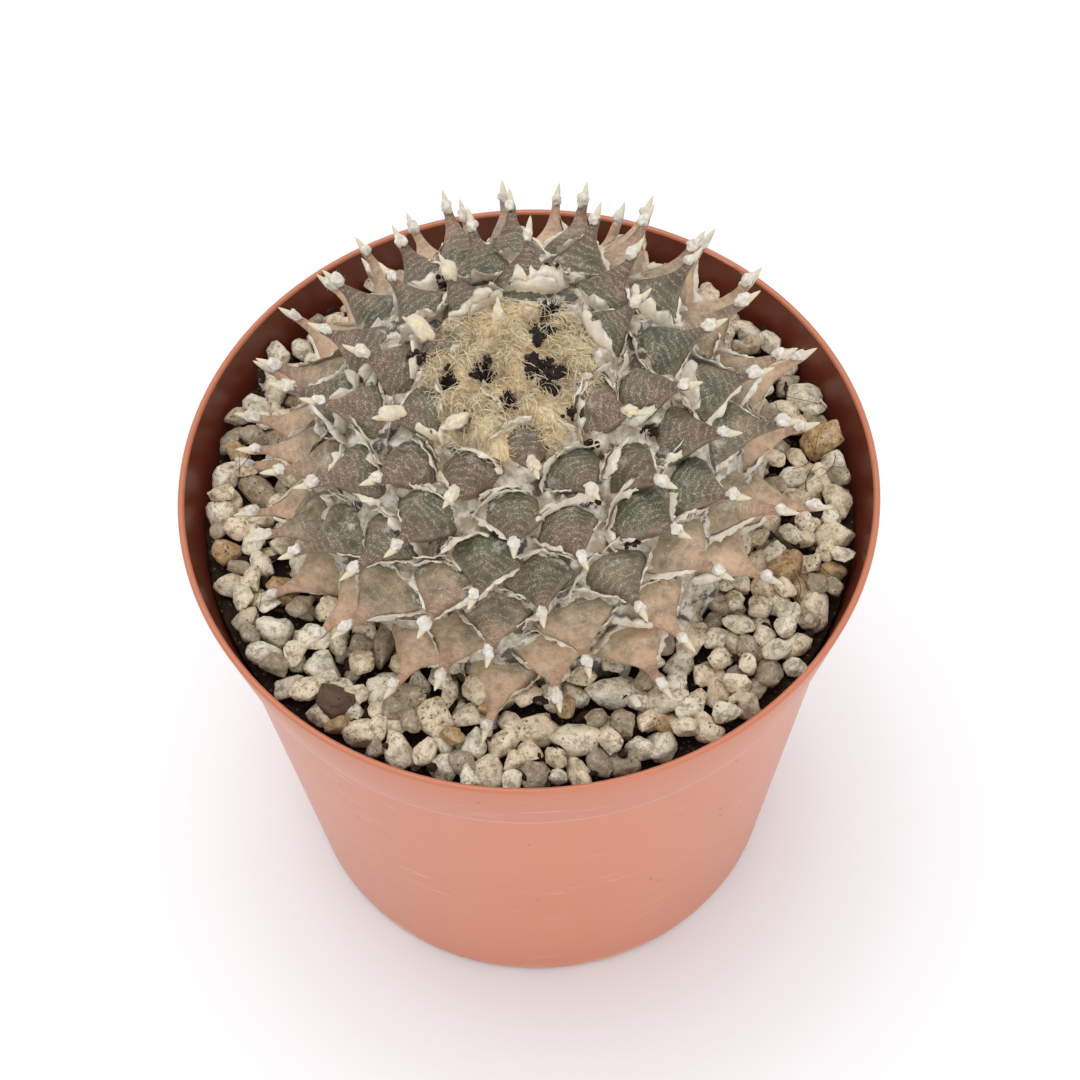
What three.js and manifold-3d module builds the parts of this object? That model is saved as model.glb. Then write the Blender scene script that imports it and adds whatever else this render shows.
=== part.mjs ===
// A potted round cactus: one spiral of pointed tubercles on a low dome, felted wool and dried
// flower remains at its crown, growing from soil and pumice in a plastic nursery pot.
// Millimetres, +Z up. The origin is the centre of the pot's standing ring, on the surface that
// the pot stands on. -Y is the front, the side that the plant leans towards.

import * as THREE from 'three';
import { mergeVertices } from 'three/addons/utils/BufferGeometryUtils.js';
import Module from 'manifold-3d';

const wasm = await Module();
wasm.setup();

// ---- Driving dimensions ----

const clearance = 0.3; // between pieces that touch

const pot = {
  height: 125,
  rimRadius: 75,
  wall: 1.5,
  collarHeight: 23,
  collarTaper: 5.2, // the collar's radius at its foot is this much under the rim's
  ledge: 1.3, // step from the collar in to the body
  bodyTaper: 13.5, // from the ledge in to the base
  footHeight: 4, // the floor is raised this far above the standing ring
  footWidth: 5,
  cornerRadius: 3,
  drainHoles: 6,
  drainHoleRadius: 4,
  drainCircleRadius: 33,
  segments: 48,
};

const fill = {
  soilBelowRim: 25,
  gravelBelowRim: 12,
};

const stones = {
  count: 44,
  width: 7,
  height: 6,
  spacing: 1.1, // free length between two neighbours along the wall
  sizeVariation: 0.22,
  turn: 0.35, // radians either way
  inwardDrift: 1, // some lie this much further from the wall
  lumpiness: 0.1,
  lavaEvery: 9, // one dark lava stone to this many
};

const plant = {
  centreX: 1.7,
  centreY: 5.2,
  centreBelowRim: 9,
  leanForward: 0.09, // radians, about the plant's centre
  leanSideways: -0.11,
  headspace: 6.9, // from the outermost tips to the pot's mouth, before the plant is set off-centre
  domeHeight: 45.2,
  domeFullness: 2.4, // 2 is an ellipse, more is flatter on top
  bowlDepth: 15.5, // from the widest level down to the root
  rootRadius: 20,
  rootDepth: 72, // from the widest level down to the root's end
  segments: 28,
};

const tubercle = {
  count: 88,
  turn: Math.PI * (3 - Math.sqrt(5)), // golden angle
  firstAzimuth: 1.62,
  firstStep: 1.1, // how far along the spiral the youngest one stands
  outermostAngle: 1.49, // radians round the dome from its top
  youngLength: 6,
  oldLength: 17,
  youngHalfWidth: 4.9,
  oldHalfWidth: 8.2,
  youngLean: 0.45, // radians from the plant's axis
  oldLean: 1.36,
  hornLength: 3.4, // past the areole
  neckRadius: 0.95, // at the areole
  rooting: 7, // sunk into the dome
  rootShare: 0.7, // width of the sunk end, of the full width
  youngRise: 0.55, // of the upper side, of the half width
  oldRise: 0.3,
  youngKeel: 0.95, // of the underside
  oldKeel: 0.75,
  youngWaist: 1, // powers above 1 hollow the edges between base and areole
  oldWaist: 1.4,
  curl: 1, // upward bend at the tip
  sides: 6,
  growth: 0.3, // power of age: below 1, the young ones grow fastest
  leanGrowth: 0.15,
  flowerSteps: [2, 5], // steps of the spiral where a flower stood instead
};

const wool = {
  radius: 21,
  thickness: 6.5,
  segments: 24,
};

// Dried flowers: distance and direction from the plant's axis, foot radius and height.
const flowers = [
  { distance: 8.2, azimuth: -0.1, radius: 3.6, height: 6.5 },
  { distance: 11.8, azimuth: 0.95, radius: 2.6, height: 6 },
  { distance: 4.7, azimuth: 2.93, radius: 2.1, height: 6 },
  { distance: 6.5, azimuth: 4.79, radius: 1.9, height: 5.5 },
  { distance: 11.5, azimuth: 3.18, radius: 1.8, height: 5.5 },
  { distance: 17.9, azimuth: 1.04, radius: 1.7, height: 5 },
];
const flowerShape = { mouthFlare: 1.15, folds: 3, crumple: 0.14 };

const finishes = {
  pot: { color: 0xc9705a, roughness: 0.35 },
  soil: { color: 0x3a2c22, roughness: 0.95 },
  gravel: { color: 0x8f8370, roughness: 0.95 },
  plant: { color: 0x6f7464, roughness: 0.7 },
  wool: { color: 0xd8c493, roughness: 1 },
  flower: { color: 0x1d1613, roughness: 0.9 },
  stone: { color: 0xb3a88f, roughness: 0.95 },
  lava: { color: 0x6b5648, roughness: 0.95 },
};

// ---- Solids and meshes ----

// A closed geometry as a solid, with its shared vertices merged and empty triangles left out.
function toSolid(geometry) {
  const bare = geometry.clone();
  bare.deleteAttribute('normal');
  bare.deleteAttribute('uv');
  const merged = mergeVertices(bare, 1e-4);
  const triangles = [];
  for (let i = 0; i < merged.index.count; i += 3) {
    const [a, b, c] = [0, 1, 2].map((k) => merged.index.getX(i + k));
    if (a !== b && b !== c && c !== a) triangles.push(a, b, c);
  }
  const mesh = new wasm.Mesh({
    numProp: 3,
    vertProperties: new Float32Array(merged.attributes.position.array),
    triVerts: new Uint32Array(triangles),
  });
  return new wasm.Manifold(mesh);
}

function toGeometry(solid) {
  const mesh = solid.getMesh();
  const geometry = new THREE.BufferGeometry();
  geometry.setAttribute('position', new THREE.BufferAttribute(new Float32Array(mesh.vertProperties), 3));
  geometry.setIndex(new THREE.BufferAttribute(new Uint32Array(mesh.triVerts), 1));
  geometry.computeVertexNormals();
  return geometry;
}

// The largest separate body of a solid, which drops crumbs left by a cut.
function largestBody(solid) {
  const bodies = solid.decompose();
  return bodies.reduce((best, body) => (body.volume() > best.volume() ? body : best));
}

// A profile of [radius, z] points turned about Z. It runs anticlockwise round the material,
// seen with the radius to the right, and starts and ends on the axis or closes on itself.
function turned(profile, segments) {
  const points = profile.map(([radius, z]) => new THREE.Vector2(radius, z));
  return new THREE.LatheGeometry(points, segments).rotateX(Math.PI / 2);
}

function arc(centreRadius, centreZ, radius, fromAngle, toAngle, steps) {
  const points = [];
  for (let i = 0; i <= steps; i += 1) {
    const angle = THREE.MathUtils.lerp(fromAngle, toAngle, i / steps);
    points.push([centreRadius + radius * Math.cos(angle), centreZ + radius * Math.sin(angle)]);
  }
  return points;
}

const group = new THREE.Group();

function addNode(name, geometry, finish) {
  const mesh = new THREE.Mesh(geometry, new THREE.MeshStandardMaterial({ ...finish, metalness: 0 }));
  mesh.name = name;
  group.add(mesh);
}

// ---- Pot ----

const collarFootRadius = pot.rimRadius - pot.collarTaper;
const bodyTopRadius = collarFootRadius - pot.ledge;
const baseRadius = bodyTopRadius - pot.bodyTaper;
const ledgeZ = pot.height - pot.collarHeight;
const floorTop = pot.footHeight + pot.wall;
const mouthRadius = pot.rimRadius - pot.wall;

// The pot's inner wall from the floor's corner up to just under the rim, as [radius, z] points.
const innerWall = [
  [baseRadius - pot.wall, floorTop],
  [bodyTopRadius - pot.wall, ledgeZ],
  [collarFootRadius - pot.wall, ledgeZ + pot.wall],
  [mouthRadius, pot.height - pot.wall / 2],
];

function innerRadiusAt(z) {
  const above = innerWall.findIndex((point) => point[1] >= z);
  const [lowRadius, lowZ] = innerWall[above - 1];
  const [highRadius, highZ] = innerWall[above];
  return THREE.MathUtils.mapLinear(z, lowZ, highZ, lowRadius, highRadius);
}

function potGeometry() {
  const quarter = Math.PI / 2;
  const footInner = baseRadius - pot.footWidth;
  const rimCentre = pot.rimRadius - pot.wall / 2;
  const profile = [
    [0, pot.footHeight],
    [footInner - pot.footHeight / 2, pot.footHeight],
    [footInner, 0],
    ...arc(baseRadius - pot.cornerRadius, pot.cornerRadius, pot.cornerRadius, -quarter, 0, 4),
    [bodyTopRadius, ledgeZ],
    [collarFootRadius, ledgeZ],
    ...arc(rimCentre, pot.height - pot.wall / 2, pot.wall / 2, 0, 2 * quarter, 4),
    ...innerWall.slice(0, -1).reverse(),
    [0, floorTop],
  ];
  let solid = toSolid(turned(profile, pot.segments));
  for (let i = 0; i < pot.drainHoles; i += 1) {
    const azimuth = (i / pot.drainHoles) * 2 * Math.PI;
    const hole = new THREE.CylinderGeometry(pot.drainHoleRadius, pot.drainHoleRadius, 2 * pot.footHeight, 16);
    hole.rotateX(Math.PI / 2);
    hole.translate(
      pot.drainCircleRadius * Math.cos(azimuth),
      pot.drainCircleRadius * Math.sin(azimuth),
      pot.footHeight + pot.wall / 2,
    );
    solid = solid.subtract(toSolid(hole));
  }
  return toGeometry(solid);
}

// ---- Plant ----

const soilTop = pot.height - fill.soilBelowRim;
const gravelTop = pot.height - fill.gravelBelowRim;
const plantCentreZ = pot.height - plant.centreBelowRim;
const tipReach = (tubercle.oldLength + tubercle.hornLength) * Math.sin(tubercle.oldLean);
const domeRadius = mouthRadius - plant.headspace - tipReach;

const plantPlacement = new THREE.Matrix4().makeRotationFromEuler(
  new THREE.Euler(plant.leanForward, plant.leanSideways, 0),
);
plantPlacement.setPosition(plant.centreX, plant.centreY, plantCentreZ);

// Height of the dome above the plant's widest level, at a distance from the plant's axis.
function domeHeightAt(distance, grow) {
  const share = distance / (domeRadius + grow);
  return (plant.domeHeight + grow) * (1 - share ** plant.domeFullness) ** (1 / plant.domeFullness);
}

// Dome over the plant's widest level and the shallow bowl under it, about the plant's own centre.
function domeSolid(grow) {
  const quarter = Math.PI / 2;
  const radius = domeRadius + grow;
  const bowl = arc(0, 0, 1, -quarter, 0, 6).map(([r, z]) => [r * radius, z * (plant.bowlDepth + grow)]);
  const dome = arc(0, 0, radius, 0, quarter, 9).map(([r]) => [r, domeHeightAt(r, grow)]);
  const profile = [...bowl, ...dome.slice(1)];
  profile[0][0] = 0;
  profile[profile.length - 1][0] = 0;
  return toSolid(turned(profile, plant.segments).applyMatrix4(plantPlacement));
}

// The upright, carrot-shaped root under the dome.
function rootSolid(grow) {
  const steps = 6;
  const profile = [];
  for (let i = 0; i <= steps; i += 1) {
    const along = i / steps;
    const radius = i === 0 ? 0 : plant.rootRadius * Math.sqrt(along) + grow;
    profile.push([radius, (along - 1) * plant.rootDepth - (i === 0 ? grow : 0)]);
  }
  profile.push([0, 0]);
  const geometry = turned(profile, plant.segments);
  geometry.translate(plant.centreX, plant.centreY, plantCentreZ);
  return toSolid(geometry);
}

function stemSolid(grow) {
  return domeSolid(grow).add(rootSolid(grow));
}

// Where one tubercle stands, how far it leans from the plant's axis and how big it is.
function tubercleAt(step) {
  const age = (step + tubercle.firstStep) / (tubercle.count - 1 + tubercle.firstStep);
  const fall = age * (1 - Math.cos(tubercle.outermostAngle)); // each one takes an equal area of a ball
  const share = Math.sqrt(1 - (1 - fall) ** 2);
  const growth = age ** tubercle.growth;
  return {
    azimuth: tubercle.firstAzimuth + step * tubercle.turn,
    radius: domeRadius * share,
    z: domeHeightAt(domeRadius * share, 0),
    lean: THREE.MathUtils.lerp(tubercle.youngLean, tubercle.oldLean, age ** tubercle.leanGrowth),
    length: THREE.MathUtils.lerp(tubercle.youngLength, tubercle.oldLength, growth),
    halfWidth: THREE.MathUtils.lerp(tubercle.youngHalfWidth, tubercle.oldHalfWidth, growth),
    rise: THREE.MathUtils.lerp(tubercle.youngRise, tubercle.oldRise, age),
    keel: THREE.MathUtils.lerp(tubercle.youngKeel, tubercle.oldKeel, age),
    waist: THREE.MathUtils.lerp(tubercle.youngWaist, tubercle.oldWaist, age),
  };
}

// A six-sided cone with a full base, a slender neck and a dry horn: x across, y along, z its upper side.
function spireGeometry({ length, halfWidth, rise, keel, waist }, grow) {
  const areole = tubercle.rooting + length;
  const tip = areole + tubercle.hornLength;
  const rings = [
    [0, tubercle.rootShare],
    [tubercle.rooting, 1],
    [tubercle.rooting + length / 2, 0.5 ** waist],
    [areole, 0],
    [tip + grow, 0],
  ]; // distance from the sunk end, and width there as a share from the neck's to the full one
  const last = rings.length - 1;
  const geometry = new THREE.ConeGeometry(1, 1, tubercle.sides, last, false);
  geometry.rotateY(Math.PI / tubercle.sides);
  const position = geometry.attributes.position;
  for (let i = 0; i < position.count; i += 1) {
    const ring = Math.round((position.getY(i) + 0.5) * last);
    const coneRadius = 1 - ring / last;
    const across = ring < last ? position.getX(i) / coneRadius : 0;
    const upward = ring < last ? position.getZ(i) / coneRadius : 0;
    const [distance, share] = rings[ring];
    const width = THREE.MathUtils.lerp(tubercle.neckRadius, halfWidth, share);
    const flatness = upward > 0 ? rise : keel;
    const depth = share > 0 ? flatness : 1;
    const bend = tubercle.curl * (distance / tip) ** 2;
    position.setXYZ(
      i,
      across * (width + grow),
      distance - tubercle.rooting,
      upward * (depth * width + grow) + bend,
    );
  }
  return geometry;
}

function tubercleSolid(step, grow) {
  const { azimuth, radius, z, lean, ...size } = tubercleAt(step);
  const outward = new THREE.Vector3(Math.cos(azimuth), Math.sin(azimuth), 0);
  const axis = new THREE.Vector3(0, 0, 1);
  const along = outward.clone().multiplyScalar(Math.sin(lean)).addScaledVector(axis, Math.cos(lean));
  const upper = outward.clone().multiplyScalar(-Math.cos(lean)).addScaledVector(axis, Math.sin(lean));
  const across = new THREE.Vector3().crossVectors(along, upper);
  const placement = new THREE.Matrix4().makeBasis(across, along, upper);
  placement.setPosition(outward.x * radius, outward.y * radius, z);
  placement.premultiply(plantPlacement);
  return toSolid(spireGeometry(size, grow).applyMatrix4(placement));
}

const spiralSteps = Array.from({ length: tubercle.count }, (_, step) => step);
const standingSteps = spiralSteps.filter((step) => !tubercle.flowerSteps.includes(step));

function cactusSolid(grow) {
  let solid = stemSolid(grow);
  for (const step of standingSteps) {
    solid = solid.add(tubercleSolid(step, grow));
  }
  return solid;
}

// The room that the plant takes up in what lies against it.
const plantRoom = cactusSolid(clearance);

// ---- Crown ----

// One dried flower, a crumpled cup that stands upright on the dome.
function flowerSolid(flower, index, grow) {
  const foot = flower.radius + grow;
  const mouth = flower.radius * flowerShape.mouthFlare + grow;
  const geometry = new THREE.CylinderGeometry(mouth, foot, flower.height + 2 * grow, 8, 2);
  const position = geometry.attributes.position;
  for (let i = 0; i < position.count; i += 1) {
    const angle = Math.atan2(position.getZ(i), position.getX(i));
    const crumple = 1 + flowerShape.crumple * Math.sin(flowerShape.folds * angle + index);
    position.setX(i, position.getX(i) * crumple);
    position.setZ(i, position.getZ(i) * crumple);
  }
  geometry.rotateX(Math.PI / 2);
  const footZ = domeHeightAt(flower.distance, clearance);
  const x = flower.distance * Math.cos(flower.azimuth);
  const y = flower.distance * Math.sin(flower.azimuth);
  geometry.translate(x, y, footZ + flower.height / 2);
  return toSolid(geometry.applyMatrix4(plantPlacement));
}

// A cap of felted wool over the dome, open round each tubercle and flower that stands in it.
function woolGeometry() {
  const profile = [];
  const steps = 6;
  for (let i = 0; i <= steps; i += 1) {
    const radius = (i / steps) * wool.radius;
    profile.push([radius, domeHeightAt(radius, clearance)]);
  }
  for (let i = steps - 1; i >= 0; i -= 1) {
    const share = i / steps;
    const swell = wool.thickness * Math.sqrt(1 - share ** 2);
    profile.push([share * wool.radius, domeHeightAt(share * wool.radius, clearance) + swell]);
  }
  let solid = toSolid(turned(profile, wool.segments).applyMatrix4(plantPlacement)).subtract(plantRoom);
  flowers.forEach((flower, index) => {
    solid = solid.subtract(flowerSolid(flower, index, clearance));
  });
  return toGeometry(largestBody(solid));
}

// ---- Soil and stones ----

// A filling of the pot between two levels, a clearance off the wall and round the plant.
function fillingGeometry(bottom, top) {
  const wallBetween = innerWall.filter(([, z]) => z > bottom && z < top);
  const edge = [[innerRadiusAt(bottom), bottom], ...wallBetween, [innerRadiusAt(top), top]];
  const profile = [[0, bottom], ...edge.map(([radius, z]) => [radius - clearance, z]), [0, top]];
  const solid = toSolid(turned(profile, pot.segments));
  return toGeometry(largestBody(solid.subtract(plantRoom)));
}

function between(low, high, seed) {
  return THREE.MathUtils.lerp(low, high, THREE.MathUtils.seededRandom(seed));
}

// A lumpy, rounded stone with its lowest point at z = 0.
function stoneGeometry(length, width, height, seed) {
  const geometry = new THREE.DodecahedronGeometry(1, 0);
  const position = geometry.attributes.position;
  for (let i = 0; i < position.count; i += 1) {
    const [x, y, z] = [position.getX(i), position.getY(i), position.getZ(i)];
    const lump = 1 + stones.lumpiness * Math.sin(3 * x + seed) * Math.cos(4 * y - seed + z);
    position.setXYZ(i, x * lump, y * lump, z * lump);
  }
  geometry.computeBoundingBox();
  const size = geometry.boundingBox.getSize(new THREE.Vector3());
  const middle = geometry.boundingBox.getCenter(new THREE.Vector3());
  geometry.translate(-middle.x, -middle.y, -geometry.boundingBox.min.z);
  geometry.scale(length / size.x, width / size.y, height / size.z);
  return geometry;
}

function addStones() {
  const wallRadius = innerRadiusAt(gravelTop) * Math.cos(Math.PI / pot.segments);
  const pathRadius = wallRadius - clearance - stones.width / 2;
  const longest = (2 * Math.PI * pathRadius) / stones.count - stones.spacing;
  for (let i = 0; i < stones.count; i += 1) {
    const seed = 10 * i;
    const azimuth = (i / stones.count) * 2 * Math.PI;
    const length = longest * between(1 - stones.sizeVariation, 1, seed + 1);
    const width = stones.width * between(1 - stones.sizeVariation, 1, seed + 2);
    const height = stones.height * between(1 - stones.sizeVariation, 1, seed + 3);
    const turn = between(-stones.turn, stones.turn, seed + 4);
    const reach = Math.hypot((width / 2) * Math.cos(turn), (length / 2) * Math.sin(turn));
    const drift = between(0, stones.inwardDrift, seed + 5);
    const radius = wallRadius - clearance - reach * (1 + stones.lumpiness) - drift;
    const geometry = stoneGeometry(length, width, height, i);
    geometry.rotateZ(azimuth + Math.PI / 2 + turn);
    geometry.translate(radius * Math.cos(azimuth), radius * Math.sin(azimuth), gravelTop + clearance);
    const isLava = (i + 1) % stones.lavaEvery === 0;
    const name = `stone_${String(i + 1).padStart(2, '0')}`;
    addNode(name, toGeometry(toSolid(geometry)), isLava ? finishes.lava : finishes.stone);
  }
}

// ---- Assembly ----

addNode('pot', potGeometry(), finishes.pot);
addNode('soil', fillingGeometry(floorTop + clearance, soilTop), finishes.soil);
addNode('gravel_bed', fillingGeometry(soilTop + clearance, gravelTop), finishes.gravel);
addNode('cactus', toGeometry(cactusSolid(0)), finishes.plant);
addNode('crown_wool', woolGeometry(), finishes.wool);
flowers.forEach((flower, index) => {
  const trimmed = flowerSolid(flower, index, 0).subtract(plantRoom);
  addNode(`dried_flower_${index + 1}`, toGeometry(largestBody(trimmed)), finishes.flower);
});
addStones();

export default group;
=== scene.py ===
"""Looks of a potted round cactus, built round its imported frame. Metres, +Z up, the plant leans to -Y."""

import math
import random
from types import SimpleNamespace

import bmesh
import bpy
from bpy.props import FloatProperty, FloatVectorProperty, IntProperty, PointerProperty
from mathutils import Euler, Matrix, Vector, noise


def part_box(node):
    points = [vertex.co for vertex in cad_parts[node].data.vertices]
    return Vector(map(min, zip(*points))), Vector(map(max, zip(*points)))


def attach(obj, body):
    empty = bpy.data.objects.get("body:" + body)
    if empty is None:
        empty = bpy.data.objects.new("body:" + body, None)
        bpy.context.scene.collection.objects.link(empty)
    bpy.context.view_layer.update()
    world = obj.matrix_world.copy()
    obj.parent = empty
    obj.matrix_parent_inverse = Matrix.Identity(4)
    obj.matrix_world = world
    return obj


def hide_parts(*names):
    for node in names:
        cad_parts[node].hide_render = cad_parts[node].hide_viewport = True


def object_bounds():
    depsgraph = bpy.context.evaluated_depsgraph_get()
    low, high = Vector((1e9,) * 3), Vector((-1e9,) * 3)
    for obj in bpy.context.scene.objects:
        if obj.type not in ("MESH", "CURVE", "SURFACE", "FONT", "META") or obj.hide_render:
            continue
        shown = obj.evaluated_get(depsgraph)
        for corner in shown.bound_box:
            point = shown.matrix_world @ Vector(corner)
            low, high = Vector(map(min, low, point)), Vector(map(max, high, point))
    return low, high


bl_info = {
    "name": "Potted Round Cactus",
    "version": (1, 0, 0),
    "blender": (4, 5, 0),
    "location": "3D View > Sidebar > Cactus",
    "description": "Builds a spiralled round cactus, its gravel and its nursery pot",
    "category": "Object",
}

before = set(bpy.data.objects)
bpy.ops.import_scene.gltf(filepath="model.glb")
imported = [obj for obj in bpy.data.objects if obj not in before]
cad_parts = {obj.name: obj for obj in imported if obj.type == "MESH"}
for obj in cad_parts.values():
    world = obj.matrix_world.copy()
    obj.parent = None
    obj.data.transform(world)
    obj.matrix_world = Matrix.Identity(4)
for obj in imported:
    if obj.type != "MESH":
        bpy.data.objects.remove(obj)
CAD_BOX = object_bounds()
POT_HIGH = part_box("pot")[1]
BED_LOW, BED_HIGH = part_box("gravel_bed")
FLOWER_NODES = sorted(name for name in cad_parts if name.startswith("dried_flower_"))
STONE_NODES = sorted(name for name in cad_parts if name.startswith("stone_"))

MM = 0.001
GOLDEN_ANGLE = math.pi * (3 - math.sqrt(5))
RIM_RADIUS = POT_HIGH.x
POT_HEIGHT = POT_HIGH.z
GRAVEL_TOP = BED_HIGH.z
NOISE_SEED = 5


def screen(red, green, blue):
    """A colour in 0 to 255 screen values, as the linear values that shaders use."""
    def linear(value):
        value /= 255
        return value / 12.92 if value <= 0.04045 else ((value + 0.055) / 1.055) ** 2.4
    return linear(red), linear(green), linear(blue)


def mix(low, high, share):
    return low + (high - low) * share


# ---- Settings ----


def length(name, description, millimetres):
    return FloatProperty(name=name, description=description, default=millimetres * MM,
                         min=0, unit="LENGTH", subtype="DISTANCE", precision=4)


def angle(name, description, radians):
    return FloatProperty(name=name, description=description, default=radians, subtype="ANGLE")


def factor(name, description, value):
    return FloatProperty(name=name, description=description, default=value)


def colour(name, description, red, green, blue):
    return FloatVectorProperty(name=name, description=description, default=screen(red, green, blue),
                               subtype="COLOR", size=3, min=0, max=1)


class PotSettings(bpy.types.PropertyGroup):
    wall: length("Wall", "Thickness of the moulded wall", 1.5)
    collar_height: length("Collar height", "Height of the collar under the rim", 23)
    collar_taper: length("Collar taper", "How much narrower the collar is at its foot", 5.2)
    ledge: length("Ledge", "Step from the collar in to the body", 1.3)
    body_taper: length("Body taper", "How much narrower the body is at its base", 13.5)
    foot_height: length("Foot height", "How far the floor is raised above the standing ring", 4)
    foot_width: length("Foot width", "Width of the standing ring", 5)
    corner: length("Corner", "Rounding of the bottom edge", 3)
    hole_radius: length("Drain hole radius", "Radius of each drain hole", 4)
    hole_circle: length("Drain hole circle", "Radius of the circle that the drain holes lie on", 33)
    holes: IntProperty(name="Drain holes", description="Number of drain holes", default=6, min=0)
    plastic: colour("Plastic", "Colour of the moulded plastic", 200, 120, 87)
    # Painted shade: this colour darkens the inner wall and the band under the collar's edge.
    shadowed: colour("Shadowed inside", "Colour of the damp, stained inner wall", 92, 34, 22)
    # Also the colour of the painted highlight along the collar's edge.
    scuff_and_highlight: colour("Scuffs", "Colour of pale scuffs and hard-water marks", 226, 178, 160)


class PlantSettings(bpy.types.PropertyGroup):
    count: IntProperty(name="Tubercles", description="Steps of the spiral", default=88, min=1)
    centre_x: length("Centre X", "Place of the plant to the right of the pot's axis", 1.7)
    centre_y: length("Centre Y", "Place of the plant behind the pot's axis", 5.2)
    below_rim: length("Below rim", "The plant's widest level under the rim", 9)
    lean_forward: angle("Lean forward", "Lean of the plant towards its front", 0.09)
    lean_sideways: angle("Lean sideways", "Lean of the plant to its side", -0.11)
    dome_radius: length("Dome radius", "Radius of the stem under the tubercles", 46.7)
    dome_height: length("Dome height", "Height of the stem above its widest level", 45.2)
    bowl_depth: length("Bowl depth", "Depth of the stem under its widest level", 15.5)
    fullness: factor("Fullness", "Flatness of the dome's top, 2 for an ellipse", 2.4)
    first_azimuth: angle("First azimuth", "Direction of the youngest tubercle", 1.62)
    first_step: factor("First step", "How far along the spiral the youngest one stands", 1.1)
    outermost_angle: angle("Outermost angle", "How far round the dome the spiral goes", 1.49)
    young_length: length("Young length", "Length of a young tubercle", 6)
    old_length: length("Old length", "Length of an old tubercle", 17)
    young_width: length("Young half width", "Half width of a young tubercle at its root", 4.9)
    old_width: length("Old half width", "Half width of an old tubercle at its root", 8.2)
    young_lean: angle("Young lean", "Lean of a young tubercle from the plant's axis", 0.45)
    old_lean: angle("Old lean", "Lean of an old tubercle from the plant's axis", 1.36)
    horn: length("Horn", "Length of the dry tip past the areole", 3.4)
    neck: length("Neck", "Radius of a tubercle at its areole", 0.95)
    rooting: length("Rooting", "Depth that a tubercle is sunk into the stem", 7)
    curl: length("Curl", "Upward bend of the tip", 1.0)
    crown_radius: length("Crown radius", "Reach of the crown's wool", 20.5)
    crown_thickness: length("Crown thickness", "Thickness of the crown's wool", 5.4)
    green: colour("Green", "Young skin", 74, 74, 56)
    mauve: colour("Mauve", "Skin of middle age", 106, 80, 66)
    tan: colour("Tan", "Old, sunburnt skin", 208, 174, 142)
    straw: colour("Straw", "Dry horn tips", 212, 200, 172)
    wool: colour("Areole wool", "White wool of the areoles", 252, 246, 236)
    paper: colour("Papery wool", "Dry wool between the tubercles", 255, 248, 234)
    crown: colour("Crown wool", "Felted wool of the crown", 255, 232, 184)
    flower: colour("Dried flower", "Dead flowers in the crown", 30, 22, 20)


class GravelSettings(bpy.types.PropertyGroup):
    smallest: length("Smallest grain", "Width of the smallest pumice grains", 4.6)
    largest: length("Largest grain", "Width of the largest pumice grains", 9.6)
    below_rim: length("Below rim", "Level of the gravel under the rim", 4.2)
    candidates: IntProperty(name="Candidates", description="Places tried for each grain", default=14)
    flakes: IntProperty(name="Flakes", description="Bits of bark between the stones", default=170)
    pumice: colour("Pumice", "Main colour of the grains", 248, 226, 194)
    cream: colour("Cream", "Palest grains", 250, 240, 216)
    grey: colour("Grey", "Grey grains", 172, 154, 132)
    ochre: colour("Ochre", "Iron-stained grains", 196, 158, 112)
    lava: colour("Lava", "Brown lava", 104, 80, 66)
    bark: colour("Bark", "Bark and soil between the grains", 62, 44, 34)


class StageSettings(bpy.types.PropertyGroup):
    surround: colour("Surround", "Floor and surrounding light", 248, 250, 252)
    key_power: factor("Key power", "Power of the large lamp in watts", 9)
    fill_power: factor("Fill power", "Power of the front lamp in watts", 4)
    surround_strength: factor("Surround strength", "Strength of the surrounding light", 0.88)


def values(context, name):
    """A settings group's present values, as plain numbers and tuples."""
    group = getattr(context.scene, name)
    plain = SimpleNamespace()
    for setting in group.__annotations__:
        value = getattr(group, setting)
        setattr(plain, setting, value if isinstance(value, (int, float)) else tuple(value))
    return plain


# ---- Shader expressions ----


class Value:
    """A shader socket that takes part in Python expressions."""

    def __init__(self, paint, socket):
        self.paint = paint
        self.socket = socket

    def __add__(self, other):
        return self.paint.maths("ADD", self, other)

    __radd__ = __add__

    def __mul__(self, other):
        return self.paint.maths("MULTIPLY", self, other)

    __rmul__ = __mul__

    def __sub__(self, other):
        return self.paint.maths("SUBTRACT", self, other)


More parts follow.
